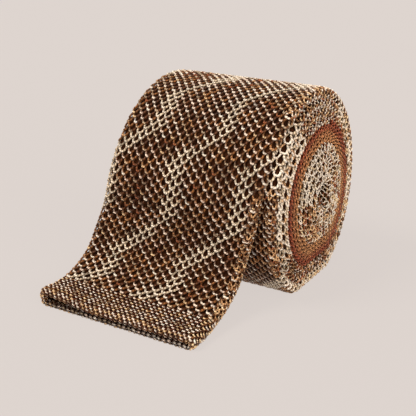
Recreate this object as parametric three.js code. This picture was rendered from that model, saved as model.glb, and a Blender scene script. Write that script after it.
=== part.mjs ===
// A knit silk tie, rolled up from its narrow tail and resting on its roll and its hem.
// Millimetres, +Z up. The roll's axis runs along X, and the free end of the blade lies towards -Y.
// The band is one long flat tube in three knitted stretches: blade, neckband and tail.
import * as THREE from "three";

// Widths of the three stretches, edge to edge
const BLADE_WIDTH = 62;
const NECKBAND_WIDTH = 38;
const TAIL_WIDTH = 46;

// Thickness of the flat tube, both layers together
const CROCHET_THICKNESS = 3.1;
const NECKBAND_THICKNESS = 1.7;
const HEM_THICKNESS = 4.5;

// Air between neighbouring turns, and between two stretches where they meet
const TURN_GAP = 0.3;

// The roll: its outer radius where the drape leaves it, before the roll settles. It stands a little
// narrower from front to back than it is tall, and its centre is lower than its radius.
const ROLL_RADIUS = 38.4;
const ROLL_CENTRE_HEIGHT = 32.9;
const ROLL_DEPTH_SHARE = 0.925;
const BLADE_TURNS = 3.3;
const NECKBAND_TURNS = 3.6;
const TAIL_TURNS = 4.15;
const SEAM_RUN_TURNS = 0.12;

// The drape, from the front of the roll down to the hem
const DRAPE_REACH = 30.6;
const DRAPE_TURNS = 0.21;
const HEM_FLAT_LENGTH = 6;
const HEM_ROUNDING = 1.6;

// The open mouth between the two layers at the hem
const MOUTH_HEIGHT = 0.8;
const MOUTH_DEPTH = 18;
const MOUTH_SIDE_WALL = 3;
const MOUTH_DROP = 0.6;

// How finely the band is divided
const STEPS_PER_TURN = 40;
const DRAPE_STEPS = 16;
const MOUTH_STEPS = 4;
const EDGE_ANGLES = [45, 90, 135];

const BROWN_CROCHET = new THREE.MeshStandardMaterial({
  color: 0x6b4a34,
  roughness: 0.75,
  metalness: 0,
});
const RUST_KNIT = new THREE.MeshStandardMaterial({
  color: 0x8a4b31,
  roughness: 0.8,
  metalness: 0,
});
const CREAM_CROCHET = new THREE.MeshStandardMaterial({
  color: 0xa58a68,
  roughness: 0.75,
  metalness: 0,
});

const BLADE_END = BLADE_TURNS;
const NECKBAND_END = BLADE_END + NECKBAND_TURNS;
const TAIL_END = NECKBAND_END + TAIL_TURNS;

// Where the band's right edge lies and how wide the band is, along its length.
// Turn 0 is the front of the roll and -DRAPE_TURNS the hem, as far down the drape as that share
// of a turn. Each turn inwards stands a little further to the right, as on a roll that has
// slipped. Edges are shares of BLADE_WIDTH.
const EDGE_TABLE = [
  { turn: -DRAPE_TURNS, right: 0.445, width: BLADE_WIDTH },
  { turn: -0.4 * DRAPE_TURNS, right: 0.45, width: BLADE_WIDTH },
  { turn: 0.0, right: 0.51, width: 0.97 * BLADE_WIDTH },
  { turn: 0.12, right: 0.555, width: 0.95 * BLADE_WIDTH },
  { turn: 0.25, right: 0.585, width: 0.955 * BLADE_WIDTH },
  { turn: 0.6 * BLADE_END, right: 0.595, width: 0.9 * BLADE_WIDTH },
  { turn: BLADE_END, right: 0.61, width: NECKBAND_WIDTH },
  { turn: NECKBAND_END, right: 0.625, width: NECKBAND_WIDTH },
  { turn: NECKBAND_END + 0.8, right: 0.63, width: TAIL_WIDTH },
  { turn: TAIL_END, right: 0.645, width: TAIL_WIDTH },
];

// The drape's middle line is one Bezier curve. Handle lengths are shares of its drop and reach.
const DRAPE_TOP_HANDLE = 0.62;
const DRAPE_FOOT_HANDLE = 0.95;
const DRAPE_FOOT_LIFT = 0.14;

function smoothStep(t) {
  const s = Math.min(Math.max(t, 0), 1);
  return s * s * (3 - 2 * s);
}

function mix(a, b, share) {
  return a + (b - a) * share;
}

// The slope of a column at a row: level at both ends of the table
function edgeSlope(index, column) {
  const before = EDGE_TABLE[index - 1];
  const after = EDGE_TABLE[index + 1];
  if (!before || !after) return 0;
  return (after[column] - before[column]) / (after.turn - before.turn);
}

// A value of the edge table at a turn, on a smooth cubic through its rows
function edgeValue(turn, column) {
  const next = EDGE_TABLE.findIndex((row) => row.turn >= turn);
  if (next === -1) return EDGE_TABLE[EDGE_TABLE.length - 1][column];
  if (next === 0) return EDGE_TABLE[0][column];
  const a = EDGE_TABLE[next - 1];
  const b = EDGE_TABLE[next];
  const run = b.turn - a.turn;
  const t = (turn - a.turn) / run;
  return (
    mix(a[column], b[column], smoothStep(t)) +
    run * t * (1 - t) * ((1 - t) * edgeSlope(next - 1, column) - t * edgeSlope(next, column))
  );
}

// The band's thickness inside the roll: the crochet thins towards both neckband seams
function thickness(turn) {
  const fromBlade = smoothStep((turn - (BLADE_END - SEAM_RUN_TURNS)) / SEAM_RUN_TURNS);
  const intoTail = smoothStep((turn - NECKBAND_END) / SEAM_RUN_TURNS);
  const knit = Math.min(fromBlade, 1 - intoTail);
  return mix(CROCHET_THICKNESS, NECKBAND_THICKNESS, knit);
}

// Outer radius of the band before the roll is flattened. The first turn is an even spiral,
// and every later turn lies against the inside of the turn around it.
function outerRadius(turn) {
  if (turn < 1) return ROLL_RADIUS - (CROCHET_THICKNESS + TURN_GAP) * Math.max(turn, 0);
  return outerRadius(turn - 1) - thickness(turn - 1) - TURN_GAP;
}

// The roll's weight flattens it where it rests: the share of the radius left at a turn
function flattening(turn) {
  const angle = 2 * Math.PI * turn;
  const firstTurn = turn - Math.floor(turn);
  const depth = -Math.sin(angle) * outerRadius(firstTurn);
  return depth > ROLL_CENTRE_HEIGHT ? ROLL_CENTRE_HEIGHT / depth : 1;
}

// A station of the band: its outer and inner point in the YZ plane, and its two edges along X
function rollStation(turn) {
  const angle = 2 * Math.PI * turn;
  const out = new THREE.Vector2(-ROLL_DEPTH_SHARE * Math.cos(angle), Math.sin(angle));
  const centre = new THREE.Vector2(0, ROLL_CENTRE_HEIGHT);
  const share = flattening(turn);
  const outer = outerRadius(turn);
  return {
    outer: centre.clone().addScaledVector(out, outer * share),
    inner: centre.clone().addScaledVector(out, (outer - thickness(turn)) * share),
    right: edgeValue(turn, "right") * BLADE_WIDTH,
    width: edgeValue(turn, "width"),
  };
}

const rollFront = -ROLL_DEPTH_SHARE * ROLL_RADIUS;
const drapeTop = new THREE.Vector2(
  rollFront + (ROLL_DEPTH_SHARE * CROCHET_THICKNESS) / 2,
  ROLL_CENTRE_HEIGHT,
);
const drapeFoot = new THREE.Vector2(
  rollFront - DRAPE_REACH + HEM_FLAT_LENGTH,
  HEM_THICKNESS / 2,
);
const drapeDrop = drapeTop.y - drapeFoot.y;
const drapeRun = drapeTop.x - drapeFoot.x;
const drapeCurve = new THREE.CubicBezierCurve(
  drapeTop,
  new THREE.Vector2(drapeTop.x, drapeTop.y - DRAPE_TOP_HANDLE * drapeDrop),
  new THREE.Vector2(
    drapeFoot.x + DRAPE_FOOT_HANDLE * drapeRun,
    drapeFoot.y + DRAPE_FOOT_LIFT * drapeDrop,
  ),
  drapeFoot,
);

// A station of the drape. Share 0 is the front of the roll and 1 the start of the flat hem.
function drapeStation(share) {
  const middle = drapeCurve.getPointAt(share);
  const along = drapeCurve.getTangentAt(share);
  const up = new THREE.Vector2(along.y, -along.x);
  const half = mix(CROCHET_THICKNESS, HEM_THICKNESS, smoothStep(2 * share - 1)) / 2;
  return {
    outer: middle.clone().addScaledVector(up, half),
    inner: middle.clone().addScaledVector(up, -half),
    right: edgeValue(-share * DRAPE_TURNS, "right") * BLADE_WIDTH,
    width: edgeValue(-share * DRAPE_TURNS, "width"),
  };
}

// A station of the flat hem, a distance in from its front edge, with its rounded end
function hemStation(fromEnd) {
  const y = drapeFoot.x - HEM_FLAT_LENGTH + fromEnd;
  const inRounding = Math.max(0, 1 - fromEnd / HEM_ROUNDING);
  const bulge = Math.sqrt(1 - inRounding * inRounding);
  const half = (mix(0.45, 1, bulge) * HEM_THICKNESS) / 2;
  const inset = HEM_ROUNDING * (1 - bulge);
  return {
    outer: new THREE.Vector2(y, HEM_THICKNESS / 2 + half),
    inner: new THREE.Vector2(y, HEM_THICKNESS / 2 - half),
    right: edgeValue(-DRAPE_TURNS, "right") * BLADE_WIDTH - inset,
    width: BLADE_WIDTH - 2 * inset,
  };
}

// A station of the mouth between the layers, a distance in from the hem's front edge
function mouthStation(depth) {
  const pastFlat = Math.max(0, depth - HEM_FLAT_LENGTH);
  const share = 1 - pastFlat / drapeCurve.getLength();
  const around = pastFlat > 0 ? drapeStation(share) : hemStation(depth);
  const up = around.outer.clone().sub(around.inner).normalize();
  const closing = depth / MOUTH_DEPTH;
  const half = mix(MOUTH_HEIGHT, MOUTH_HEIGHT / 3, closing) / 2;
  const middle = around.outer.clone().add(around.inner).multiplyScalar(0.5);
  middle.addScaledVector(up, -MOUTH_DROP);
  return {
    outer: middle.clone().addScaledVector(up, half),
    inner: middle.clone().addScaledVector(up, -half),
    right: around.right - MOUTH_SIDE_WALL,
    width: around.width - 2 * MOUTH_SIDE_WALL,
  };
}

// The closed outline of the flat tube at a station, with its two edges rounded
function outline(station) {
  const { outer, inner, right, width } = station;
  const middle = outer.clone().add(inner).multiplyScalar(0.5);
  const half = outer.clone().sub(inner).multiplyScalar(0.5);
  const round = half.length();
  const left = right - width;
  const point = (x, share) =>
    new THREE.Vector3(x, middle.x + half.x * share, middle.y + half.y * share);
  const rightEdge = EDGE_ANGLES.map((degrees) => {
    const turned = THREE.MathUtils.degToRad(degrees);
    return point(right - round + round * Math.sin(turned), Math.cos(turned));
  });
  const leftEdge = EDGE_ANGLES.map((degrees) => {
    const turned = THREE.MathUtils.degToRad(degrees);
    return point(left + round - round * Math.sin(turned), -Math.cos(turned));
  });
  return [
    point(left + round, 1),
    point(right - round, 1),
    ...rightEdge,
    point(right - round, -1),
    point(left + round, -1),
    ...leftEdge,
  ];
}

// One closed skin through a row of outlines, with a flat cap at each end
function skin(stations) {
  const loops = stations.map(outline);
  const sides = loops[0].length;
  const positions = loops.flat().flatMap((p) => [p.x, p.y, p.z]);
  const faces = [];
  for (let row = 0; row + 1 < loops.length; row += 1) {
    for (let k = 0; k < sides; k += 1) {
      const a = row * sides + k;
      const b = row * sides + ((k + 1) % sides);
      faces.push(a, b, b + sides, a, b + sides, a + sides);
    }
  }
  const last = (loops.length - 1) * sides;
  for (let k = 1; k + 1 < sides; k += 1) {
    faces.push(0, k + 1, k);
    faces.push(last, last + k, last + k + 1);
  }
  const geometry = new THREE.BufferGeometry();
  geometry.setAttribute("position", new THREE.Float32BufferAttribute(positions, 3));
  geometry.setIndex(faces);
  geometry.computeVertexNormals();
  return geometry;
}

// Stations of the roll between two turns, on the same rays in every turn
function rollStations(from, to) {
  const turns = [from];
  const first = Math.floor(from * STEPS_PER_TURN) + 1;
  for (let step = first; step / STEPS_PER_TURN < to - 0.2 / STEPS_PER_TURN; step += 1) {
    if (step / STEPS_PER_TURN > from + 0.2 / STEPS_PER_TURN) turns.push(step / STEPS_PER_TURN);
  }
  turns.push(to);
  return turns.map(rollStation);
}

// Half of the gap at a seam, as a share of a turn
function halfSeamGap(turn) {
  return TURN_GAP / (4 * Math.PI * outerRadius(turn));
}

// The blade, from the back of its mouth, out over the hem, up the drape and into the roll
function bladeStations() {
  const mouth = [];
  for (let k = MOUTH_STEPS; k >= 0; k -= 1) mouth.push(mouthStation((MOUTH_DEPTH * k) / MOUTH_STEPS));
  const hem = [0, 0.25, 1].map((share) => hemStation(share * HEM_ROUNDING));
  const drape = [];
  for (let k = DRAPE_STEPS; k > 0; k -= 1) drape.push(drapeStation(k / DRAPE_STEPS));
  return [...mouth, ...hem, ...drape, ...rollStations(0, BLADE_END - halfSeamGap(BLADE_END))];
}

function neckbandStations() {
  return rollStations(
    BLADE_END + halfSeamGap(BLADE_END),
    NECKBAND_END - halfSeamGap(NECKBAND_END),
  );
}

function tailStations() {
  return rollStations(NECKBAND_END + halfSeamGap(NECKBAND_END), TAIL_END);
}

function part(name, stations, material) {
  const mesh = new THREE.Mesh(skin(stations), material);
  mesh.name = name;
  return mesh;
}

const tie = new THREE.Group();
tie.add(
  part("blade", bladeStations(), BROWN_CROCHET),
  part("neckband", neckbandStations(), RUST_KNIT),
  part("tail", tailStations(), CREAM_CROCHET),
);

// The origin is under the middle of the tie's bounding box, on the surface it rests on
const bounds = new THREE.Box3().setFromObject(tie);
const middle = bounds.getCenter(new THREE.Vector3());
tie.position.set(-middle.x, -middle.y, -bounds.min.z);

export default tie;
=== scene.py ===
# %% [markdown]
# # A rolled knit tie, dressed stitch by stitch
# The real thing is a knitted silk tie. It is one long flat tube: a wide blade in an open crochet net,
# a narrow neckband in fine plain knit, and a tail in crochet again. It is rolled up from the tail.
# The imported part gives the size and the place of that tube. Here the plain solids give way to cloth:
# an inner tube for each stretch, dark with painted shadow, and real loops of yarn laid over it, row by
# row.

# %% Load the imported part
import math

import bpy
import numpy as np
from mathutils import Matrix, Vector


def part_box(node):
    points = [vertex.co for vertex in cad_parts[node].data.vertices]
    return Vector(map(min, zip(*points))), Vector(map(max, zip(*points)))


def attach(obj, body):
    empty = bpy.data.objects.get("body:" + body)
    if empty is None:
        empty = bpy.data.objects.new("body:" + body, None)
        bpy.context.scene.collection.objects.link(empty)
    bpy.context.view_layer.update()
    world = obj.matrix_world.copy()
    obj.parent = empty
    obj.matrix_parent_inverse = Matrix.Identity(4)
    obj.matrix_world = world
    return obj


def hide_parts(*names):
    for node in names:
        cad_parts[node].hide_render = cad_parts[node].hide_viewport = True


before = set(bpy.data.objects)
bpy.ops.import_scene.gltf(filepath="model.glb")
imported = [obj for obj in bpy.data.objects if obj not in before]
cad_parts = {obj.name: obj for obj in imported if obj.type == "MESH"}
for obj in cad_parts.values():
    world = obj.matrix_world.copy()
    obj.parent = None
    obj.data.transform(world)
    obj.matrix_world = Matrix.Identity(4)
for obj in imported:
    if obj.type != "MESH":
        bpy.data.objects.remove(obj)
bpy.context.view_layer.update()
bpy.ops.object.select_all(action="DESELECT")

# %% [markdown]
# ## Sizes
# All lengths of the tie are kept in millimetres, as a knitter would note them, and turned to metres
# when a mesh is made. They are the sizes that the solids were made from, so what is laid on the path
# below lies on the solids.

# %% The tie's sizes in millimetres
MM = 0.001
BLADE_WIDTH, NECKBAND_WIDTH, TAIL_WIDTH = 62.0, 38.0, 46.0
CROCHET_THICKNESS, NECKBAND_THICKNESS, HEM_THICKNESS = 3.1, 1.7, 4.5
TURN_GAP = 0.3
ROLL_RADIUS, ROLL_CENTRE_HEIGHT, ROLL_DEPTH_SHARE = 38.4, 32.9, 0.925
SEAM_RUN_TURNS = 0.12
BLADE_END = 3.3
NECKBAND_END = BLADE_END + 3.6
TAIL_END = NECKBAND_END + 4.15
DRAPE_REACH, DRAPE_TURNS, HEM_FLAT_LENGTH = 30.6, 0.21, 6.0
DRAPE_TOP_HANDLE, DRAPE_FOOT_HANDLE, DRAPE_FOOT_LIFT = 0.62, 0.95, 0.14
# Each layer's edge is rounded at the hem, and the upper layer is the thicker one
HEM_ROUNDING, HEM_LAYER_DIFFERENCE = 0.92, 0.3
# The mouth stands open at its left corner: how high, and how far along and aside that reaches
MOUTH_GAPE, GAPE_ALONG, GAPE_ASIDE = 1.9, 16, 22
GROUND_CLEARANCE = 0.03

# Where the band's right edge lies, as a share of the blade's width, and how wide the band is
EDGE_TURN = [-DRAPE_TURNS, -0.4 * DRAPE_TURNS, 0.0, 0.12, 0.25, 0.6 * BLADE_END]
EDGE_TURN += [BLADE_END, NECKBAND_END, NECKBAND_END + 0.8, TAIL_END]
EDGE_RIGHT = [0.445, 0.45, 0.51, 0.555, 0.585, 0.595, 0.61, 0.625, 0.63, 0.645]
EDGE_WIDTH = [BLADE_WIDTH * share for share in (1, 1, 0.97, 0.95, 0.955, 0.9)]
EDGE_WIDTH += [NECKBAND_WIDTH, NECKBAND_WIDTH, TAIL_WIDTH, TAIL_WIDTH]
print("turns of blade, neckband and tail:", BLADE_END, NECKBAND_END - BLADE_END, TAIL_END - NECKBAND_END)

# %% [markdown]
# ## The path of the cloth
# A curve object could carry the band, but its twist and its uneven width would have to be fought.
# Instead the path is worked out once as a table of stations, from the hem up the drape and round the
# roll. Each station knows the middle of the tube, the way out of the cloth, half its thickness and
# its two edges. Everything that is knitted below is placed by one question: how far along the tie,
# how far round the tube, and how high above the cloth.

# %% How the width and the thickness change
def smooth(t):
    """A soft step from 0 to 1."""
    t = np.clip(t, 0, 1)
    return t * t * (3 - 2 * t)


def edge_value(turn, column):
    """A smooth curve through one of the edge columns above, level at both ends."""
    turns, values = np.array(EDGE_TURN), np.array(column)
    slope = np.zeros(len(turns))
    slope[1:-1] = (values[2:] - values[:-2]) / (turns[2:] - turns[:-2])
    i = np.clip(np.searchsorted(turns, turn) - 1, 0, len(turns) - 2)
    run = turns[i + 1] - turns[i]
    t = np.clip((turn - turns[i]) / run, 0, 1)
    bend = run * t * (1 - t) * ((1 - t) * slope[i] - t * slope[i + 1])
    return values[i] + (values[i + 1] - values[i]) * smooth(t) + bend


def cloth_thickness(turn):
    """Both layers together: crochet, thin plain knit in the neckband, and crochet again."""
    from_blade = smooth((turn - (BLADE_END - SEAM_RUN_TURNS)) / SEAM_RUN_TURNS)
    into_tail = smooth((turn - NECKBAND_END) / SEAM_RUN_TURNS)
    knit = np.minimum(from_blade, 1 - into_tail)
    return CROCHET_THICKNESS + (NECKBAND_THICKNESS - CROCHET_THICKNESS) * knit


print("thickness at turns 1, 5 and 9:", [round(float(cloth_thickness(turn)), 2) for turn in (1, 5, 9)])

# %% [markdown]
# ## The roll
# A roll could be a spiral curve, but that spaces its turns evenly, and this cloth has two
# thicknesses. So each station is placed one thickness and one gap inside the station that lies a
# whole turn before it. The real roll sags under its own weight, so it is pressed flat where it rests.

# %% Stations round the roll
def roll_stations(per_turn=240):
    turn = np.arange(int(round(TAIL_END * per_turn)) + 1) / per_turn
    thick = cloth_thickness(turn)
    outer = ROLL_RADIUS - (CROCHET_THICKNESS + TURN_GAP) * turn
    for k in range(per_turn, len(turn)):
        outer[k] = outer[k - per_turn] - thick[k - per_turn] - TURN_GAP
    depth = -np.sin(2 * np.pi * turn) * outer[np.arange(len(turn)) % per_turn]
    flat = np.where(depth > ROLL_CENTRE_HEIGHT, ROLL_CENTRE_HEIGHT / np.maximum(depth, 1), 1)
    out = np.stack([-ROLL_DEPTH_SHARE * np.cos(2 * np.pi * turn), np.sin(2 * np.pi * turn)], 1)
    middle = out * ((outer - thick / 2) * flat)[:, None] + [0, ROLL_CENTRE_HEIGHT]
    half = np.linalg.norm(out, axis=1) * thick * flat / 2
    return turn, middle, out / np.linalg.norm(out, axis=1)[:, None], half


roll = roll_stations()
print("stations round the roll:", len(roll[0]))

# %% [markdown]
# ## The drape and the hem
# From the front of the roll the blade hangs down and runs out level. One Bezier curve with two
# handles draws the line that soft cloth takes there. The stations are spread evenly along it, and the
# cloth thickens towards the hem, which is knitted closer. The hem itself lies flat on the ground.

# %% Stations down the drape and along the hem
HEM_STEPS = 24


def drape_stations(steps=120):
    front = -ROLL_DEPTH_SHARE * ROLL_RADIUS
    top = np.array([front + ROLL_DEPTH_SHARE * CROCHET_THICKNESS / 2, ROLL_CENTRE_HEIGHT])
    foot = np.array([front - DRAPE_REACH + HEM_FLAT_LENGTH, HEM_THICKNESS / 2])
    run, drop = top - foot
    a = top - [0, DRAPE_TOP_HANDLE * drop]
    b = foot + [DRAPE_FOOT_HANDLE * run, DRAPE_FOOT_LIFT * drop]
    t = np.linspace(0, 1, 2001)[:, None]
    line = (1 - t) ** 3 * top + 3 * (1 - t) ** 2 * t * a + 3 * (1 - t) * t**2 * b + t**3 * foot
    along = (1 - t) ** 2 * (a - top) + 2 * (1 - t) * t * (b - a) + t**2 * (foot - b)
    length = np.r_[0, np.cumsum(np.linalg.norm(np.diff(line, axis=0), axis=1))]
    share = np.linspace(1, 0, steps + 1)[:-1]
    middle = np.stack([np.interp(share * length[-1], length, line[:, k]) for k in (0, 1)], 1)
    way = np.stack([np.interp(share * length[-1], length, along[:, k]) for k in (0, 1)], 1)
    out = np.stack([way[:, 1], -way[:, 0]], 1) / np.linalg.norm(way, axis=1)[:, None]
    half = CROCHET_THICKNESS + (HEM_THICKNESS - CROCHET_THICKNESS) * smooth(2 * share - 1)
    return -share * DRAPE_TURNS, middle, out, half / 2


def hem_stations(steps=HEM_STEPS):
    start = -ROLL_DEPTH_SHARE * ROLL_RADIUS - DRAPE_REACH
    y = start + np.linspace(0, HEM_FLAT_LENGTH, steps + 1)[:-1]
    middle = np.stack([y, np.full(steps, HEM_THICKNESS / 2)], 1)
    out = np.tile([0.0, 1.0], (steps, 1))
    return np.full(steps, -DRAPE_TURNS), middle, out, np.full(steps, HEM_THICKNESS / 2)


hem, drape = hem_stations(), drape_stations()
print("stations along the hem and the drape:", len(hem[0]), len(drape[0]))

# %% [markdown]
# ## One table of stations
# The three stretches of the path are joined from the hem inwards. The distances from station to
# station add up to the length along the tie, and the lengths of blade, neckband and tail come from
# that: they are what a tape would measure on the unrolled tie.

# %% Join the stations and measure the tie
TURN, MIDDLE, OUT, HALF = [np.concatenate(column) for column in zip(hem, drape, roll)]
ALONG = np.r_[0, np.cumsum(np.linalg.norm(np.diff(MIDDLE, axis=0), axis=1))]
RIGHT = edge_value(TURN, EDGE_RIGHT) * BLADE_WIDTH
LEFT = RIGHT - edge_value(TURN, EDGE_WIDTH)

# The solids stand with the middle of their box over the origin, so the path moves there too
node_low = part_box("blade")[0]
SHIFT_X = node_low[0] / MM - LEFT[0]
SHIFT_Y = node_low[1] / MM - MIDDLE[0, 0]


def length_at(turn):
    return float(np.interp(turn, TURN[HEM_STEPS:], ALONG[HEM_STEPS:]))


def turn_at(along):
    return np.interp(along, ALONG[HEM_STEPS:], TURN[HEM_STEPS:])


BLADE_LENGTH = length_at(BLADE_END)
NECKBAND_LENGTH = length_at(NECKBAND_END) - BLADE_LENGTH
TAIL_LENGTH = ALONG[-1] - BLADE_LENGTH - NECKBAND_LENGTH
print("lengths in mm:", round(BLADE_LENGTH), round(NECKBAND_LENGTH), round(TAIL_LENGTH))
print("shift in mm:", round(SHIFT_X, 3), round(SHIFT_Y, 3))

# %% [markdown]
# ## A place on the cloth
# A flat tube has two faces and two round folds. A knitter tells a place on it as so far along, so far
# round and so far above, and one function turns that into a place in space. Every piece asks the same
# function, so the loops can't part from the tube that they lie on.

# %% One question places everything: along, round and above
def on_band(along, round_share, above):
    """Millimetres along the tie, share of the way round the flat tube, millimetres above the cloth.
    Share 0 is the middle of the left fold, a quarter the outer face, a half the right fold. Lengths
    short of the hem's rounding turn over the edge of their own layer and into the mouth."""
    half, left, right = [np.interp(along, ALONG, column) for column in (HALF, LEFT, RIGHT)]
    flat = right - left - 2 * half
    fold = np.pi * half
    d = (np.mod(round_share, 1) * (2 * flat + 2 * fold) - fold / 2) % (2 * flat + 2 * fold)
    on_right, on_inner, on_left = d >= flat, d >= flat + fold, d >= 2 * flat + fold
    angle = np.where(on_left, np.pi + (d - 2 * flat - fold) / half, (d - flat) / half)
    angle = np.where(on_inner & ~on_left, np.pi, np.where(on_right, angle, 0))
    x = np.where(on_right, right - half, left + half + d)
    x = np.where(on_inner, right - half - (d - flat - fold), x)
    x = np.where(on_left, left + half, x)
    edge = HEM_ROUNDING + HEM_LAYER_DIFFERENCE * np.cos(angle)
    turned = (edge - along) / edge
    inside = np.maximum(turned - np.pi, 0) * edge
    arc = np.clip(turned, 0, np.pi)
    along = np.where(turned > 0, edge - (edge + above) * np.sin(arc) + inside, along)
    above = np.where(turned > 0, (edge + above) * np.cos(arc) - edge, above)
    out = np.stack([np.interp(along, ALONG, OUT[:, 0]), np.interp(along, ALONG, OUT[:, 1])], -1)
    out /= np.linalg.norm(out, axis=-1)[..., None]
    x = x + (half + above) * np.sin(angle)
    high = (half + above) * np.cos(angle)
    y = np.interp(along, ALONG, MIDDLE[:, 0]) + out[..., 0] * high + np.minimum(along, 0)
    z = np.interp(along, ALONG, MIDDLE[:, 1]) + out[..., 1] * high
    # the mouth gapes at its left corner: there the upper layer is lifted off the lower one
    near = (1 - smooth(along / GAPE_ALONG)) * (1 - smooth((x - left) / GAPE_ASIDE))
    z = z + MOUTH_GAPE * (near * (1 + np.cos(angle)) / 2)
    return np.stack([x + SHIFT_X, y + SHIFT_Y, np.maximum(z, GROUND_CLEARANCE)], -1) * MM


def tube_round(along):
    """Millimetres all the way round the flat tube."""
    half = np.interp(along, ALONG, HALF)
    width = np.interp(along, ALONG, RIGHT - LEFT)
    return 2 * (width - 2 * half) + 2 * np.pi * half


print("once round the blade in mm:", round(float(tube_round(100.0)), 1))

# %% [markdown]
# ## Colours and a helper for nodes
# Colours are written as sRGB hex values and turned to linear by one function. One more function adds
# a node, gives it its settings and links its inputs, so each material below reads like a recipe.

# %% Colour and node helpers
def linear(hex_colour):
    channels = [int(hex_colour[i : i + 2], 16) / 255 for i in (0, 2, 4)]
    return [c / 12.92 if c <= 0.04045 else ((c + 0.055) / 1.055) ** 2.4 for c in channels]


def add_node(tree, kind, settings=(), inputs=(), links=()):
    node = tree.nodes.new(kind)
    for name, value in dict(settings).items():
        setattr(node, name, value)
    for name, value in dict(inputs).items():
        node.inputs[name].default_value = value
    for name, source in dict(links).items():
        tree.links.new(source, node.inputs[name])
    return node


def new_material(name):
    material = bpy.data.materials.new(name)
    material.use_nodes = True
    tree = material.node_tree
    tree.nodes.clear()
    shader = add_node(tree, "ShaderNodeBsdfPrincipled")
    add_node(tree, "ShaderNodeOutputMaterial", links={"Surface": shader.outputs[0]})
    return material, tree, shader


print("cream silk in linear light:", [round(channel, 3) for channel in linear("f2e6d6")])

# %% [markdown]
# ## Silk yarn
# The net is knitted from spun and dyed silk. The fibres are long and smooth, so the yarn has a soft
# gleam along its crests and a warm bloom at a glancing angle, but no mirror. Its material is built in
# three steps. The first is the twist of the plies, a fine slanting ridge that follows the yarn on the
# piece's own UV map.

# %% The twist of the plies
# this scale makes each band of the wave go once round the yarn, so the twist has no seam
PLY_SCALE = 0.2 * math.pi


def twisted_plies(tree, twists_per_stitch):
    """Slanting bands that go from groove to ridge, along the yarn on its own UV map."""
    yarn_run = add_node(tree, "ShaderNodeUVMap", {"uv_map": "yarn_run"})
    size = {"Scale": (twists_per_stitch, 1.0, 1.0)}
    twist = add_node(tree, "ShaderNodeMapping", inputs=size, links={"Vector": yarn_run.outputs[0]})
    return add_node(
        tree,
        "ShaderNodeTexWave",
        {"bands_direction": "DIAGONAL"},
        {"Scale": PLY_SCALE},
        {"Vector": twist.outputs[0]},
    )


print("scale of the twist:", round(PLY_SCALE, 3))

# %% [markdown]
# ## Fibres over the dye, and painted shade in the grooves
# Silk fibres that were dyed apart and spun together leave specks in the yarn. The grooves between its
# plies are painted darker as shade and their ridges lighter as highlight. Both are multiplied into the
# loop's own colour, so that every colour of the chart keeps them. Even bleached silk doesn't return all
# the light, so the result has a ceiling.

# %% Specks and grooves
# millimetres
SPECK = 0.4
UNDYED_SILK = "f0e2ce"


def dyed_fibres_and_groove_shade(tree, plies, marl):
    """marl is how far the specks, and the painted shade in the plies' grooves and painted highlight on
    their ridges, lighten and darken the dye.
    """
    place = add_node(tree, "ShaderNodeTexCoord")
    specks = add_node(
        tree,
        "ShaderNodeTexNoise",
        inputs={"Scale": 1000 / SPECK, "Detail": 2.0, "Roughness": 0.7},
        links={"Vector": place.outputs["Object"]},
    )
    fibres = add_node(
        tree,
        "ShaderNodeMapRange",
        inputs={"From Min": 0.3, "From Max": 0.7, "To Min": 1 - marl, "To Max": 1 + marl},
        links={"Value": specks.outputs["Fac"]},
    )
    # painted shade and highlight: the plies' grooves darken the colour and their ridges lighten it
    groove = add_node(
        tree,
        "ShaderNodeMapRange",
        inputs={"To Min": 1 - 0.65 * marl, "To Max": 1 + 0.9 * marl},
        links={"Value": plies.outputs["Fac"]},
    )
    depth = add_node(
        tree,
        "ShaderNodeMath",
        {"operation": "MULTIPLY"},
        links={0: fibres.outputs["Result"], 1: groove.outputs["Result"]},
    )
    shade = add_node(tree, "ShaderNodeAttribute", {"attribute_name": "yarn_shade"})
    marled = add_node(
        tree,
        "ShaderNodeVectorMath",
        {"operation": "SCALE"},
        links={"Vector": shade.outputs["Color"], "Scale": depth.outputs[0]},
    )
    ceiling = add_node(
        tree,
        "ShaderNodeVectorMath",
        {"operation": "MINIMUM"},
        {1: linear(UNDYED_SILK)},
        {0: marled.outputs[0]},
    )
    return ceiling.outputs[0]


print("specks in mm:", SPECK)

# %% [markdown]
# ## The surface of the yarn
# The twist also lifts the surface a little. Silk has an index of refraction of 1.54, but a spun yarn
# scatters most of its gleam, so the specular level is low. A thin sheen stands for the loose fibre
# ends. The crochet yarn is smoother and more marled than the fine yarn of the neckband, and the painted
# shade in the grooves of its plies is deeper.

# %% The two yarns
SILK_IOR = 1.54
# metres
PLY_HEIGHT = 0.00015


def silk_yarn(name, roughness, gleam, twists_per_stitch, marl):
    material, tree, shader = new_material(name)
    plies = twisted_plies(tree, twists_per_stitch)
    bump = add_node(
        tree,
        "ShaderNodeBump",
        inputs={"Strength": 0.6, "Distance": PLY_HEIGHT},
        links={"Height": plies.outputs["Fac"]},
    )
    tree.links.new(bump.outputs[0], shader.inputs["Normal"])
    tree.links.new(dyed_fibres_and_groove_shade(tree, plies, marl), shader.inputs["Base Color"])
    shader.inputs["Roughness"].default_value = roughness
    shader.inputs["IOR"].default_value = SILK_IOR
    shader.inputs["Specular IOR Level"].default_value = 0.18
    shader.inputs["Sheen Weight"].default_value = gleam
    shader.inputs["Sheen Roughness"].default_value = 0.35
    return material


# A net stitch takes some 6 mm of yarn, so its 6 ridges are 1 mm apart. That is about twice as coarse
# as real plies, so that they show.
# the last number sets the specks and the painted shade in the plies' grooves together
crochet_silk = silk_yarn("silk_crochet_yarn", 0.45, 0.03, 6.0, 0.7)
neckband_silk = silk_yarn("silk_plain_knit_yarn", 0.5, 0.03, 4.0, 0.4)
print("yarns:", crochet_silk.name, neckband_silk.name)
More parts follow.
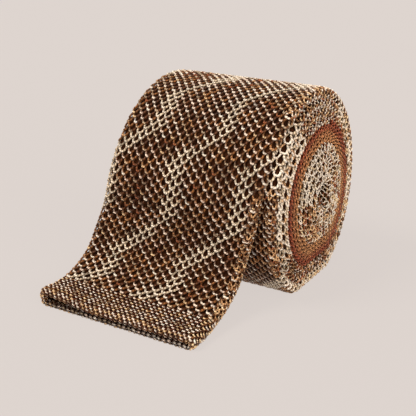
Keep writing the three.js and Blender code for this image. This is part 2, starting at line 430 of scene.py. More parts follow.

# %% [markdown]
# ## The layer behind the net
# Through the holes of the net the eye meets the inside of the tube, in shadow. It is the same knitted
# silk, drawn as a rough cloth whose dark colours are painted shadow. Its cells are as large as the
# stitches of its stretch and follow the flattened tube on the UV map. It hardly gleams, because little
# light comes in there.

# %% The material of the inner cloth
def inner_cloth(name, hole, thread, cell_mm):
    """The layer that shows dark between the loops, with its own faint knit. Its colours are painted
    shadow.
    """
    material, tree, shader = new_material(name)
    flat_cloth = add_node(tree, "ShaderNodeUVMap", {"uv_map": "flat_cloth"})
    cells = add_node(
        tree,
        "ShaderNodeTexVoronoi",
        {"feature": "DISTANCE_TO_EDGE"},
        {"Scale": 1000 / cell_mm, "Randomness": 0.35},
        {"Vector": flat_cloth.outputs[0]},
    )
    ramp = add_node(tree, "ShaderNodeValToRGB", links={"Fac": cells.outputs["Distance"]})
    ramp.color_ramp.elements[0].position = 0.05
    ramp.color_ramp.elements[0].color = (*linear(thread), 1)
    ramp.color_ramp.elements[1].position = 0.3
    ramp.color_ramp.elements[1].color = (*linear(hole), 1)
    tree.links.new(ramp.outputs[0], shader.inputs["Base Color"])
    shader.inputs["Roughness"].default_value = 0.9
    shader.inputs["Specular IOR Level"].default_value = 0.08
    return material


# painted shadow: each inner layer is its stretch's silk darkened to the shade inside the tube
shadow_cloth = inner_cloth("silk_crochet_inner_layer", "240e02", "3a1e0c", 3.9)
rust_shadow_cloth = inner_cloth("silk_plain_knit_inner_layer", "2c0c02", "5a240d", 1.2)
cream_shadow_cloth = inner_cloth("silk_marl_inner_layer", "2c1404", "573819", 3.9)
print("inner layers:", shadow_cloth.name, rust_shadow_cloth.name, cream_shadow_cloth.name)

# %% [markdown]
# ## The inner tubes
# A knitted tube starts flat, is rolled round and pressed. The pieces are made the same way: a flat
# grid is added, one row of it for each station, then each vertex is asked where it lies on the band,
# and the two long sides are welded where they meet. At the hem the blade's tube stays open: its wall
# turns inwards over a rounded edge and runs on inside, so the two layers have a real mouth between
# them. The body lies a little under the cloth's true surface, and the loops stand on it.

# %% Make a flat tube from a grid
def flat_tube(name, rows, material, folds=26):
    """rows are pairs of millimetres along and above the cloth's surface."""
    rows = np.array(rows)
    bpy.ops.object.select_all(action="DESELECT")
    bpy.ops.mesh.primitive_grid_add(
        x_subdivisions=2 * folds, y_subdivisions=len(rows) - 1, size=2, calc_uvs=True
    )
    piece = bpy.context.object
    piece.name = piece.data.name = name
    flat = np.empty(len(piece.data.vertices) * 3)
    piece.data.vertices.foreach_get("co", flat)
    flat = flat.reshape(-1, 3)
    row = np.rint((flat[:, 1] + 1) / 2 * (len(rows) - 1)).astype(int)
    share = (flat[:, 0] + 1) / 2
    # more of the columns go to the two folds, where the cloth turns round
    share = share - np.sin(4 * np.pi * share) * 0.075
    piece.data.vertices.foreach_set("co", on_band(rows[row, 0], share, rows[row, 1]).ravel())
    uv = piece.data.uv_layers[0]
    uv.name = "flat_cloth"
    corner = np.empty(len(piece.data.loops), dtype=int)
    piece.data.loops.foreach_get("vertex_index", corner)
    cloth = np.stack([share * tube_round(rows[row, 0]), rows[row, 0]], 1)[corner] * MM
    uv.data.foreach_set("uv", cloth.ravel())
    bpy.ops.object.mode_set(mode="EDIT")
    bpy.ops.mesh.select_all(action="SELECT")
    bpy.ops.mesh.remove_doubles(threshold=0.00002)
    bpy.ops.mesh.fill_holes(sides=0)
    bpy.ops.mesh.normals_make_consistent(inside=False)
    bpy.ops.object.mode_set(mode="OBJECT")
    bpy.ops.object.shade_smooth()
    piece.data.materials.append(material)
    print(name, "faces:", len(piece.data.polygons))
    return piece


# %% [markdown]
# ## The three stretches of tube
# The rows of each tube lie closer where the cloth bends more tightly: at the rounded edge of the hem
# and in the core. Neighbouring stretches stop half a gap short of their seam. All three tubes are
# sunk a little, by about the thickness of a loop, so that the loops end up at the true surface.

# %% Make the three inner tubes
def even_rows(start, end, step, above):
    count = max(2, int(round((end - start) / step)))
    return [(along, above) for along in np.linspace(start, end, count + 1)]


CROCHET_SINK, KNIT_SINK = -0.55, -0.3
mouth = (-20, -14, -8, -4, -2.8, -2.2, -1.7, -1.2, -0.8, -0.4, 0, 0.4, 0.8, 1.3)
mouth_rows = [(along, CROCHET_SINK) for along in mouth]
seam = TURN_GAP / 2
blade_rows = mouth_rows + even_rows(2.4, BLADE_LENGTH - seam, 2.2, CROCHET_SINK)
neckband_start = BLADE_LENGTH + seam
tail_start = BLADE_LENGTH + NECKBAND_LENGTH + seam
neckband_rows = even_rows(neckband_start, tail_start - 2 * seam, 2.0, KNIT_SINK)
tail_rows = even_rows(tail_start, ALONG[-1], 1.6, CROCHET_SINK)

blade_cloth = flat_tube("blade_inner_tube", blade_rows, shadow_cloth)
neckband_cloth = flat_tube("neckband_inner_tube", neckband_rows, rust_shadow_cloth)
tail_cloth = flat_tube("tail_inner_tube", tail_rows, cream_shadow_cloth)

# %% [markdown]
# ## One loop of yarn
# Each row of the net is a single yarn that waves across the cloth. Its low bends are pulled out
# through the row before, so they stand proud, and its high bends are tucked under the row above.
# One wave is drawn as a Bezier curve with a round bevel and made a mesh: that is one stitch. All the
# others are copies of it, laid along the band, each next row half a stitch to the side.

# %% Draw one stitch
# share of a cell; level handles at both ends let each stitch run smoothly into the next
END_HANDLE = 0.11


def stitch(name, cell, row, radius, bends, sides=6, crest=0.08):
    """bends are from the middle to the side: share of a cell, share of a row, millimetres high.
    crest is the share of the loop that takes the lighter shade."""
    full = [(-u, v, h) for u, v, h in bends[:0:-1]] + list(bends)
    bpy.ops.object.select_all(action="DESELECT")
    bpy.ops.curve.primitive_bezier_curve_add(radius=1)
    piece = bpy.context.object
    spline = piece.data.splines[0]
    spline.bezier_points.add(len(full) - 2)
    for point, (u, v, h) in zip(spline.bezier_points, full):
        point.co = (u * cell, v * row, h)
        point.handle_left_type = point.handle_right_type = "AUTO"
    for point in (spline.bezier_points[0], spline.bezier_points[-1]):
        point.handle_left_type = point.handle_right_type = "FREE"
        point.handle_left = point.co - Vector((END_HANDLE * cell, 0, 0))
        point.handle_right = point.co + Vector((END_HANDLE * cell, 0, 0))
    piece.data.resolution_u = 1
    piece.data.bevel_depth = radius
    piece.data.bevel_resolution = (sides - 4) // 2
    piece.data.use_fill_caps = False
    piece.data.twist_mode = "Z_UP"
    bpy.ops.object.convert(target="MESH")
    mesh = piece.data
    points = np.empty(len(mesh.vertices) * 3)
    mesh.vertices.foreach_get("co", points)
    faces = np.array([list(face.vertices) for face in mesh.polygons])
    bpy.data.objects.remove(piece)
    points = points.reshape(-1, 3)
    # the last ring is the next copy's first one
    points[:sides, 0] = -cell / 2
    points[-sides:] = points[:sides] + [cell, 0, 0]
    print(name, "faces:", len(faces), "rings:", len(points) // sides)
    return {"points": points, "faces": faces, "sides": sides, "cell": cell, "crest": crest}


NET_CELL, NET_ROW = 3.864, 1.82
CELLS_ROUND = 33
NET_BENDS = [
    (0, -0.2, 0.35),
    (0.16, -0.1, 0.3),
    (0.29, 0.26, 0.15),
    (0.35, 0.72, -0.05),
    (0.5, 1.1, -0.25),
]
net_stitch = stitch("net stitch", NET_CELL, NET_ROW, 0.38, NET_BENDS, crest=0.12)

# %% [markdown]
# ## The hand of the knitter
# No knitter pulls every loop alike, and a net of equal loops looks printed. Long waves of a tenth of
# a millimetre move the loops up and aside. The net was also pulled closer where it bends over the
# roll: there its stitches are a sixth smaller.

# %% Uneven tension, and the gathered part of the net
TENSION = 0.09
GATHER_START, GATHER_RUN, GATHER_SHARE = 60, 45, 0.16


def uneven_tension(along, round_mm):
    a, b = along, round_mm
    up = np.sin(1.9 * a + 0.7 * b) + np.sin(0.83 * a - 1.31 * b + 2)
    aside = np.sin(1.47 * a - 0.9 * b + 1) + np.sin(0.57 * a + 1.73 * b)
    return TENSION * up, TENSION * aside


def gather(along):
    return 1 - GATHER_SHARE * smooth((along - GATHER_START) / GATHER_RUN)


print("size of a stitch at 0, 80 and 200 mm:", [round(float(gather(at)), 3) for at in (0, 80, 200)])

# %% [markdown]
# ## Painted highlights on the crests
# The crest of a loop stands proud and catches the light, while its legs lie deep. Its paler colour is
# partly the yarn's own and partly painted highlight, so each point of a stitch has a number that says
# how much of the crest's colour it takes. It is highest in the middle of the arc, on the side of the
# yarn that looks out and towards the hem, where the painted highlight falls.

# %% How much of the crest's shade each point takes
# the crest's middle and the width of its blend, in halves of a stitch
CREST_MIDDLE, CREST_FADE = -0.16, 0.3


def crest_share(loop):
    points, sides = loop["points"], loop["sides"]
    each = len(points)
    from_crest = np.abs(np.arange(each) // sides / (each // sides - 1) * 2 - 1 - CREST_MIDDLE)
    rings = points.reshape(-1, sides, 3)
    round_yarn = (rings - rings.mean(1, keepdims=True)).reshape(-1, 3)
    round_yarn /= np.linalg.norm(round_yarn, axis=1).max()
    # painted highlight: the side of the yarn that looks out and towards the hem takes the crest's colour
    painted_highlight = smooth(0.1 + 0.9 * round_yarn[:, 2] - 0.8 * round_yarn[:, 1])
    return (1 - smooth((from_crest - loop["crest"]) / CREST_FADE)) * painted_highlight


print("points of a net stitch that are all crest:", int((crest_share(net_stitch) > 0.99).sum()))

# %% [markdown]
# ## Knitting: copies of the stitch, laid on the band
# Thousands of separate objects would be slow to handle, so the copies are joined as they are laid.
# Each copy keeps its own colours as a colour attribute: its dye, with painted highlight on the crest.
# Neighbours in a row share their end rings, so a weld turns the copies into one long yarn, and where a
# row ends, its last ring is closed.

# %% Lay stitches
WELD_DISTANCE = 0.00001


def weld_rings(piece, sides):
    bpy.ops.object.select_all(action="DESELECT")
    bpy.context.view_layer.objects.active = piece
    piece.select_set(True)
    bpy.ops.object.mode_set(mode="EDIT")
    bpy.ops.mesh.select_all(action="SELECT")
    bpy.ops.mesh.remove_doubles(threshold=WELD_DISTANCE)
    bpy.ops.mesh.fill_holes(sides=sides)
    bpy.ops.object.mode_set(mode="OBJECT")
    bpy.ops.object.shade_smooth()


def knit(name, loop, along, cell, cells_round, crest, leg, material, gathered=False):
    """along and cell place each stitch; crest and leg are its colours."""
    points, faces, sides = loop["points"], loop["faces"], loop["sides"]
    total, each = len(along), len(points)
    tight = gather(along)[:, None] if gathered else 1.0
    along_each = along[:, None] + points[None, :, 1] * tight
    round_each = cell[:, None] * loop["cell"] + points[None, :, 0]
    up, aside = uneven_tension(along_each, round_each)
    share = (round_each + aside) / loop["cell"] / cells_round
    share = 0.25 + (share - 0.25) * tight
    placed = on_band(along_each + up, share, points[None, :, 2])
    # the crest's colour, partly painted highlight, is blended in where crest_share puts it
    height = crest_share(loop)[None, :, None]
    shade = leg[:, None, :] * (1 - height) + crest[:, None, :] * height
    mesh = bpy.data.meshes.new(name)
    mesh.vertices.add(total * each)
    mesh.vertices.foreach_set("co", placed.ravel())
    corners = (faces[None] + (np.arange(total) * each)[:, None, None]).ravel()
    mesh.loops.add(len(corners))
    mesh.loops.foreach_set("vertex_index", corners)
    mesh.polygons.add(total * len(faces))
    mesh.polygons.foreach_set("loop_start", np.arange(0, len(corners), 4))
    mesh.update(calc_edges=True)
    dye = mesh.attributes.new("yarn_shade", "FLOAT_COLOR", "POINT")
    dye.data.foreach_set("color", np.concatenate([shade, np.ones_like(shade[..., :1])], 2).ravel())
    ring, side = np.divmod(faces, sides)
    side = np.where((side == 0) & (side.max(1, keepdims=True) == sides - 1), sides, side)
    run = np.stack([ring / (each // sides - 1), side / sides], -1)
    uv = mesh.uv_layers.new(name="yarn_run")
    uv.data.foreach_set("uv", np.tile(run.reshape(-1), total))
    mesh.materials.append(material)
    piece = bpy.data.objects.new(name, mesh)
    bpy.context.collection.objects.link(piece)
    weld_rings(piece, sides)
    print(name, "stitches:", total, "triangles:", sum(len(p.vertices) - 2 for p in mesh.polygons))
    return piece


# %% [markdown]
# ## Where the stitches go
# In a net each row hangs in the gaps of the row before, so every next row lies half a stitch aside.
# One function lists the places of plain rows, which may lean, and another those of the gathered net.

# %% Places for the stitches of a patch
def rows_of(start, end, row, first_cell, last_cell, lean=0.0):
    """Every stitch between two lengths and two cells: each next row is half a cell aside."""
    along, cell = [], []
    for j, s in enumerate(np.arange(start, end, row)):
        shift = 0.5 * (j % 2) - lean * j
        begin = math.ceil(first_cell - shift) + shift
        cells = np.arange(begin, last_cell + 0.01, 1.0)
        along.append(np.full(len(cells), s))
        cell.append(cells)
    return np.concatenate(along), np.concatenate(cell)


def gathered_rows(start, end, row, first_cell, last_cell):
    """The same for the net, whose rows and cells draw closer. Returns each stitch's place too, and
    where the next row would start."""
    along, cell = [], []
    j, s, middle = 0, start, CELLS_ROUND / 4
    while s < end:
        tight = gather(s)
        shift = 0.5 * (j % 2)
        begin = math.ceil(middle + (first_cell - middle) / tight - shift) + shift
        cells = np.arange(begin, middle + (last_cell - middle) / tight + 0.01, 1.0)
        along.append(np.full(len(cells), s))
        cell.append(cells)
        j, s = j + 1, s + row * tight
    along, cell = np.concatenate(along), np.concatenate(cell)
    return along, cell, middle + (cell - middle) * gather(along), s, j


print("stitches in ten rows of ten:", len(rows_of(0, 10 * NET_ROW, NET_ROW, 0, 9.5)[0]))

# %% [markdown]
# ## The chart
# A knitter works stripes from a chart. Here the chart is a rule: the cream stripe's middle is a path
# that runs straight up the cloth for some rows, then leans half a stitch to the right on each row,
# and it repeats every seven stitches. Between two cream stripes runs a rust and gold one.

# %% The stripes' path
STRIPE_REPEAT = 7.0
stripe_along = [0, 10, 20, 31, 46, 66.5, 77.5, 91, 105]
stripe_cell = [-0.6, 0.7, 3.0, 3.0, 7.0, 7.0, 10.5, 10.5, 14.0]
while stripe_along[-1] < ALONG[-1]:
    stripe_along += [stripe_along[-1] + 14, stripe_along[-1] + 28]
    stripe_cell += [stripe_cell[-1], stripe_cell[-1] + 3.5]


def from_stripe(along, cell):
    """How many stitches a place lies to the right of the nearest cream stripe's middle."""
    middle = np.interp(along, stripe_along, stripe_cell)
    return np.mod(cell - middle + STRIPE_REPEAT / 2, STRIPE_REPEAT) - STRIPE_REPEAT / 2


print("bends in the stripe's path:", len(stripe_along))

# %% [markdown]
# ## The skeins
# The silk was dyed in a dozen browns and creams. The skeins have names here, so that the charts read
# like a pattern. Each loop takes a skein by lot from the few that its place allows, and then a little
# more or less of the colour, because hand-dyed silk never takes it evenly.

# %% The dyed skeins
INK = {
    "umber": "4a2106",
    "earth": "462710",
    "bark": "66401f",
    "blush": "ead3c0",
    "cream": "f2e6d6",
    "chalk": "fbf3e8",
    "pearl": "e8dfd0",
    "bone": "ad9a80",
    "flax": "a0907a",
    "rust": "80482a",
    "gold": "dab98e",
    "tan": "a8825c",
}
INK = {name: np.array(linear(value)) for name, value in INK.items()}
dice = np.random.default_rng(21)


def uneven(colours, amount):
    """Hand-dyed silk: no two loops take quite the same depth of colour."""
    return np.clip(colours * dice.normal(1, amount, (len(colours), 1)), 0, 1)


def picked(names, count):
    """One of the named inks for each stitch, drawn by lot."""
    return np.stack([INK[name] for name in names])[dice.integers(0, len(names), count)]


print("skeins:", len(INK))

# %% [markdown]
# ## The net's shades
# The ground is brown yarn whose crests are given a painted highlight in blush and cream, the stripe is
# cream all through, with crests paler as painted highlight, and halfway between two stripes some loops
# are rust and gold. Along the folds the crests are warmer and more mixed. The numbers are stitches,
# counted from the cream stripe's middle or round the tube.

# %% The shades of each stitch of the net
CREAM_STRIPE = (-0.5, 1.02)
RUST_MIDDLE, RUST_HALF, RUST_LOT = 3.8, 0.8, 0.6
FRONT_FACE = (0.8, 15.8)


def net_shades(along, cell):
    aside = from_stripe(along, cell) / gather(along)
    count = len(along)
    # on the brown ground the pale crests are painted highlight
    crest = picked(("blush", "cream", "blush", "bone", "cream"), count)
    leg = picked(("earth", "earth", "bark"), count)
    from_rust = np.mod(aside - RUST_MIDDLE + STRIPE_REPEAT / 2, STRIPE_REPEAT) - STRIPE_REPEAT / 2
    warm = (np.abs(from_rust) < RUST_HALF) & (dice.random(count) < RUST_LOT)
    crest[warm] = picked(("rust", "tan", "bone", "gold", "bone"), warm.sum())
    fold = (cell < FRONT_FACE[0]) | (cell > FRONT_FACE[1])
    crest[fold] = picked(("gold", "tan", "bone", "cream"), fold.sum())
    leg[fold] = INK["bark"]
    # the stripe that starts in the hem's right corner is brown at first
    hem_corner = (along < 25) & (cell > 14)
    light = (aside > CREAM_STRIPE[0]) & (aside < CREAM_STRIPE[1]) & ~hem_corner
    # the cream yarn's crests in pearl are paler than its flax legs as painted highlight
    crest[light] = INK["pearl"]
    leg[light] = INK["flax"]
    return uneven(crest, 0.2), uneven(leg, 0.2)


print("the cream stripe is", round(CREAM_STRIPE[1] - CREAM_STRIPE[0], 2), "stitches wide")

# %% [markdown]
# ## The chart of the right edge
# The right end of the roll shows the edge of every turn. A second chart tells, turn by turn, where
# the edge is open net and where it is worked tighter, one small stitch on every wale, and in which
# yarns. Where a cream stripe runs out over the edge, cream net shows beside the drape.

# %% The right edge, turn by turn
EDGE_CELL, EDGE_ROW, EDGE_CELLS = 1.932, 1.3, 66
EDGE_BENDS = [
    (0, -0.15, 0.25),
    (0.17, 0.05, 0.2),
    (0.3, 0.45, 0.1),
    (0.4, 0.8, -0.05),
    (0.5, 1.05, -0.15),
]
edge_stitch = stitch("edge stitch", EDGE_CELL, EDGE_ROW, 0.3, EDGE_BENDS, sides=4)
CREAM = (("chalk",), ("bone", "cream", "bone", "tan"))
BRIGHT = (("chalk", "cream", "chalk", "gold"), ("gold", "tan", "bone", "cream"))
MARL = (("gold", "cream", "tan", "cream"), ("tan", "rust", "bark", "earth", "earth"))
BROWN = (("gold", "tan", "bone", "cream"), ("bark", "earth", "earth"))
GOLDEN = (("gold", "cream", "tan", "bone"), ("bark", "tan", "earth"))
# each line: turns from, turns to, open net or tight, and the skeins of crests and legs
EDGE_CHART = [
    (-0.3, 0.03, "tight", GOLDEN),
    (0.03, 0.165, "net", BROWN),
    (0.165, 0.33, "tight", MARL),
    (0.33, 0.62, "net", BRIGHT),
    (0.62, 0.79, "tight", BRIGHT),
    (0.79, 0.905, "net", CREAM),
    (0.905, 1.045, "tight", MARL),
    (1.045, 1.165, "net", CREAM),
    (1.165, 1.33, "tight", MARL),
    (1.33, 1.6, "net", BRIGHT),
    (1.6, 1.88, "tight", MARL),
    (1.88, 2.165, "net", CREAM),
    (2.165, 2.9, "tight", MARL),
    (2.9, 3.165, "net", CREAM),
    (3.165, 3.4, "tight", MARL),
]


def edge_shades(along, kind):
    """Which of the stitches belong to this kind, and their two colours."""
    turn = turn_at(along)
    keep = np.zeros(len(along), dtype=bool)
    crest, leg = np.zeros((len(along), 3)), np.zeros((len(along), 3))
    for start, end, edge_kind, (crests, legs) in EDGE_CHART:
        here = (turn >= start) & (turn < end) & (edge_kind == kind)
        crest[here] = picked(crests, here.sum())
        leg[here] = picked(legs, here.sum())
        keep |= here
    return keep, uneven(crest, 0.2), uneven(leg, 0.2)


print("stretches of the right edge:", len(EDGE_CHART))

# %% [markdown]
# ## The blade's net
# The front of the drape and the outermost turn of the roll are knitted in full, from the hem's band
# upwards. It is done in two pieces, front and back, and the second starts on the row where the first
# one ends. At the right edge the net keeps its own lattice, but takes its yarns from the edge's chart.

# %% Knit the front and the back of the blade
HEM_BAND = 13.0
NET_EDGE_START = 16.2
FIRST_TURN_END = length_at(1.02)
BACK_START = length_at(0.5)


def knit_blade(name, start, end, first_cell, last_cell):
    along, cell, place, next_row, rows = gathered_rows(start, end, NET_ROW, first_cell, last_cell)
    crest, leg = net_shades(along, np.mod(place, CELLS_ROUND))
    open_net, edge_crest, edge_leg = edge_shades(along, "net")
    edge = place > NET_EDGE_START
    plain = edge & (np.abs(from_stripe(along, place) - 0.25) > 0.9)
    crest[plain], leg[plain] = edge_crest[plain], edge_leg[plain]
    keep = open_net | ~edge
    piece = knit(
        name, net_stitch, along[keep], cell[keep], CELLS_ROUND, crest[keep],
        leg[keep], crochet_silk, gathered=True,
    )
    return piece, next_row, rows


front_net, back_start, front_rows = knit_blade("blade_net_front", HEM_BAND, BACK_START, -0.5, 17.5)
print("rows in front:", front_rows)
back_net = knit_blade("blade_net_back", back_start, FIRST_TURN_END, -0.5, 17.5)[0]

# %% [markdown]
# ## The underside and the left end
# The drape's underside shows from low down, so it is knitted as well. Of the inner turns only the
# folds show at the left end, and there the tie grows narrower inwards, so that a strip of each inner
# face stays in sight too. The strip is as wide as the step from one turn to the next.

# %% Knit the underside and the left end
along, cell = rows_of(HEM_BAND, length_at(0.0), NET_ROW, 18.0, 32.0)
crest, leg = net_shades(along, cell)
underside = knit("blade_net_underside", net_stitch, along, cell, CELLS_ROUND, crest, leg, crochet_silk)

along, cell = rows_of(FIRST_TURN_END, BLADE_LENGTH - 1.5, NET_ROW, -1.5, 1.0)
crest, leg = net_shades(along, np.mod(cell, CELLS_ROUND))
left_folds = knit("blade_left_folds", net_stitch, along, cell, CELLS_ROUND, crest, leg, crochet_silk)

along, cell = rows_of(length_at(1.0), BLADE_LENGTH - 1.5, NET_ROW, -9.0, -2.0)
left_here = np.interp(along, ALONG, LEFT)
left_within = np.interp(turn_at(along) + 1, TURN[HEM_STEPS:], LEFT[HEM_STEPS:])
FOLD_OVERLAP = 3
keep = -cell * NET_CELL < left_within - left_here + FOLD_OVERLAP
crest, leg = net_shades(along[keep], np.full(keep.sum(), 8.0))
left_faces = knit(
    "blade_left_inner_faces", net_stitch, along[keep], cell[keep], CELLS_ROUND, crest, leg, crochet_silk
)
blade_net = [front_net, back_net, underside, left_folds, left_faces]

# %% [markdown]
# ## The right edge
# The edges of the inner turns are what the right end shows most of. Both kinds of stitch are laid out
# along the whole edge, and the chart says which of them are kept, so net and tight knit take turns.

# %% Knit the right edge
along, cell = rows_of(FIRST_TURN_END, BLADE_LENGTH - 1.5, NET_ROW, 15.0, 17.5)
keep, crest, leg = edge_shades(along, "net")
right_net = knit(
    "blade_right_edge_net", net_stitch, along[keep], cell[keep], CELLS_ROUND, crest[keep],
    leg[keep], crochet_silk,
)

along, cell = rows_of(HEM_BAND, BLADE_LENGTH - 1.2, EDGE_ROW, 30.0, 35.5)
keep, crest, leg = edge_shades(along, "tight")
keep &= (along > FIRST_TURN_END) | (cell > 31)
right_marl = knit(
    "blade_right_edge_marl", edge_stitch, along[keep], cell[keep], EDGE_CELLS, crest[keep],
    leg[keep], crochet_silk,
)
blade_net += [right_net, right_marl]

# %% [markdown]
# ## The hem
# The last centimetre is worked closer, one stitch on every wale, so it lies flat and firm. It is the
# same wave made half as wide, and it goes all the way round the tube.

# %% Knit the hem
HEM_ROW = 1.36
HEM_BENDS = [
    (0, -0.1, 0.32),
    (0.2, -0.04, 0.28),
    (0.33, 0.35, 0.05),
    (0.4, 0.7, -0.1),
    (0.5, 0.95, -0.2),
]
hem_stitch = stitch("hem stitch", EDGE_CELL, HEM_ROW, 0.29, HEM_BENDS, sides=4, crest=0.1)
# stitches round the tube: the right fold, and how far a corner reaches
RIGHT_FOLD, CORNER = EDGE_CELLS / 2, 2.2


def knit_hem():
    along, cell = rows_of(-1.95, HEM_BAND - 0.3, HEM_ROW, 0, EDGE_CELLS - 0.4, lean=0.2)
    count = len(along)
    crest = picked(("cream", "blush", "cream", "bone", "gold"), count)
    leg = picked(("umber", "umber", "bark"), count) * 0.85
    corner = (np.abs(cell - RIGHT_FOLD) < CORNER) | (cell < CORNER) | (cell > EDGE_CELLS - CORNER)
    crest[corner] = picked(("gold", "gold", "bone", "cream"), corner.sum())
    leg[corner] = picked(("bark", "umber"), corner.sum())
    # painted shadow: the lower layer is darkened as if it lay in the upper one's shadow
    below = (cell > RIGHT_FOLD + 1) & (cell < EDGE_CELLS - 1)
    crest[below] *= 0.35
    leg[below] *= 0.3
    return knit(
        "blade_hem_rows", hem_stitch, along, cell, EDGE_CELLS, uneven(crest, 0.2),
        uneven(leg, 0.2), crochet_silk,
    )


hem_rows = knit_hem()

# %% [markdown]
# ## The chain along the hem
# The last row of crochet is a chain, which stops the cloth from running. Its loops lie almost flat in
# the direction of the edge, so the bends of this stitch go up and down far less than the others.

# %% The chain that finishes the hem's edge
RIM_BENDS = [
    (0, -0.15, 0.34),
    (0.18, -0.08, 0.3),
    (0.3, 0.1, 0.2),
    (0.4, 0.25, 0.1),
    (0.5, 0.3, 0.05),
]
rim_stitch = stitch("rim stitch", EDGE_CELL, 1.0, 0.27, RIM_BENDS, sides=4, crest=0.18)
cell = np.arange(EDGE_CELLS) + 0.0
crest = uneven(picked(("cream", "gold"), EDGE_CELLS), 0.1)
leg = uneven(picked(("umber", "bark"), EDGE_CELLS), 0.1)
# painted shadow: the lower layer's chain is darkened as if in the upper layer's shadow
crest[(cell > RIGHT_FOLD + 1) & (cell < EDGE_CELLS - 1)] *= 0.4
hem_rim = knit(
    "blade_hem_rim", rim_stitch, np.full(EDGE_CELLS, 0.2), cell, EDGE_CELLS, crest, leg, crochet_silk
)

# %% [markdown]
# ## The tail
# The tail is the same net on a smaller gauge, in a mixed cream and brown yarn. It shows only its
# folds, at the two ends of the roll.

# %% Knit the tail's folds
TAIL_CELL, TAIL_ROW, TAIL_CELLS = 2.32, 1.3, 40
tail_stitch = stitch("tail stitch", TAIL_CELL, TAIL_ROW, 0.27, NET_BENDS, sides=4)


def knit_tail(name, first_cell, last_cell):
    along, cell = rows_of(tail_start + 1, ALONG[-1] - 1, TAIL_ROW, first_cell, last_cell)
    count = len(along)
    turn = turn_at(along)
    crest = picked(("chalk", "chalk", "cream", "chalk", "cream", "gold"), count)
    leg = picked(("bone", "cream", "tan", "rust", "gold", "bark"), count)
    # the tail's own stripes, in turns: a cream one in front of the core, a rusty one below it
    light = (np.mod(turn, 1) < 0.22) & (turn < 9.3)
    leg[light] = picked(("bone", "cream"), light.sum())
    rusty = (np.mod(turn, 1) > 0.8) & (turn > 7.9) & (turn < 9.1)
    crest[rusty] = picked(("gold", "tan", "cream"), rusty.sum())
    leg[rusty] = picked(("rust", "tan", "bark"), rusty.sum())
    return knit(
        name, tail_stitch, along, cell, TAIL_CELLS, uneven(crest, 0.2), uneven(leg, 0.2), crochet_silk
    )


tail_net = [knit_tail("tail_right_folds", 18.0, 22.0), knit_tail("tail_left_folds", -1.5, 1.5)]

# %% [markdown]
# ## The neckband
# The neckband goes round the neck under a collar, so it is worked as a fine, thin plain knit with
# loops a third as wide as the net's. Its rust brown gets lighter towards the inner turns.

# %% Knit the neckband's folds
KNIT_CELL, KNIT_ROW, KNIT_CELLS = 1.39, 1.25, 56
KNIT_BENDS = [
    (0, -0.2, 0.2),
    (0.17, 0.05, 0.15),
    (0.26, 0.45, 0.05),
    (0.36, 0.8, -0.05),
    (0.5, 1.0, -0.1),
]
knit_stitch = stitch("neckband stitch", KNIT_CELL, KNIT_ROW, 0.24, KNIT_BENDS, sides=4)
OUTER_RUST, INNER_RUST = "b25c3c", "de9e68"


def knit_neckband(name, first_cell, last_cell):
    end = tail_start - 1
    along, cell = rows_of(neckband_start + 1, end, KNIT_ROW, first_cell, last_cell)
    inwards = smooth((along - along.min()) / np.ptp(along) * 1.6 - 0.3)[:, None]
    outer, inner = np.array(linear(OUTER_RUST)), np.array(linear(INNER_RUST))
    crest = outer * (1 - inwards) + inner * inwards
    # painted shade: the legs are the crests' colour at three tenths, as if lying deep in shadow
    return knit(
        name, knit_stitch, along, cell, KNIT_CELLS, uneven(crest, 0.14),
        uneven(crest * 0.3, 0.14), neckband_silk,
    )


neckband_net = [
    knit_neckband("neckband_right_folds", 27.0, 29.0),
    knit_neckband("neckband_left_folds", -1.0, 1.0),
]

# %% [markdown]
# ## Which piece stands for which solid
# Nothing on a tie swings, so every piece rides on the one body. Each inner tube and its loops take the
# place of their stretch's solid, which is hidden.

# %% Put the pieces on the one body and hide the solids
stretches = [
    ("blade", blade_cloth, [*blade_net, hem_rows, hem_rim], BLADE_WIDTH, BLADE_LENGTH, "blade_crochet"),
    ("neckband", neckband_cloth, neckband_net, NECKBAND_WIDTH, NECKBAND_LENGTH, "neckband_knit"),
    ("tail", tail_cloth, tail_net, TAIL_WIDTH, TAIL_LENGTH, "tail_crochet"),
]
for node, cloth, loops, width, length, finish in stretches:
    for piece in (cloth, *loops):
        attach(piece, "root")
    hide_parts(node)
    print(node, "has", 1 + len(loops), "pieces")

# %% [markdown]
# ## The camera
# The photograph looks down on the tie by about 20 degrees from its right. The lens is a short
# telephoto one, so that the roll keeps its shape.

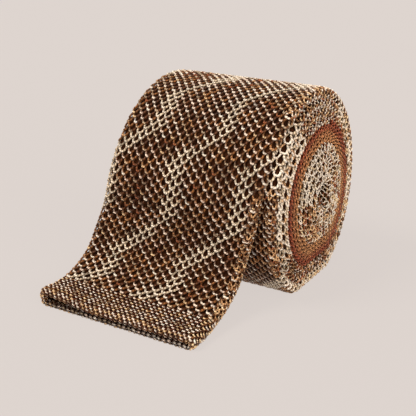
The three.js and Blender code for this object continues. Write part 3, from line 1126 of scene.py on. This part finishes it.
# %% Camera
camera_data = bpy.data.cameras.new("camera")
camera = bpy.data.objects.new("camera", camera_data)
bpy.context.collection.objects.link(camera)
camera.location = (0.148208, -0.243238, 0.133123)
camera.rotation_euler = (math.radians(90 - 20.508), 0, math.radians(31.458))
camera_data.lens, camera_data.sensor_width = 73.29, 36
camera_data.clip_start, camera_data.clip_end = 0.01, 20
bpy.context.scene.camera = camera
print("camera at:", [round(x, 3) for x in camera.location])

# %% [markdown]
# ## The ground
# The ground is one pale warm grey, without a horizon. It is a matt board that gives off most of its
# own light, so it keeps one even colour and takes only the softest shadow.

# %% Ground
def ground_material(colour):
    """Matt painted board, lit from behind, so that it keeps one even colour."""
    material, tree, shader = new_material("matt_painted_board")
    shader.inputs["Base Color"].default_value = (0.05, 0.048, 0.046, 1)
    shader.inputs["Roughness"].default_value = 1.0
    shader.inputs["Specular IOR Level"].default_value = 0.0
    shader.inputs["Emission Color"].default_value = (*linear(colour), 1)
    shader.inputs["Emission Strength"].default_value = 0.892
    return material


bpy.ops.object.select_all(action="DESELECT")
bpy.ops.mesh.primitive_plane_add(size=12, location=(0, 0, 0))
ground = bpy.context.object
ground.name = "ground"
ground.data.materials.append(ground_material("ded5d0"))
print("ground:", ground.name)

# %% [markdown]
# ## The light
# A sun lights everything evenly, and its spread is the angle that a big soft window would fill. One
# stands high to the left of the tie, and a wider one low to its right, which opens the shadows in the
# roll's end. The world around them has the colour of the ground.

# %% Light
def soft_light(name, way, spread, power, colour):
    data = bpy.data.lights.new(name, "SUN")
    data.angle, data.energy, data.color = math.radians(spread), power, linear(colour)
    light = bpy.data.objects.new(name, data)
    bpy.context.collection.objects.link(light)
    light.rotation_euler = Vector(way).to_track_quat("Z", "Y").to_euler()
    print(name, "from:", way)


soft_light("window", (-0.45, -0.55, 0.85), 25, 2.4, "fff6ea")
soft_light("reflector", (0.88, -0.4, 0.3), 60, 2.5, "fff2e6")

world = bpy.data.worlds.new("studio")
bpy.context.scene.world = world
world.use_nodes = True
world.node_tree.nodes["Background"].inputs["Color"].default_value = (*linear("ded5d0"), 1)
world.node_tree.nodes["Background"].inputs["Strength"].default_value = 1.0
bpy.context.scene.view_settings.view_transform = "Standard"
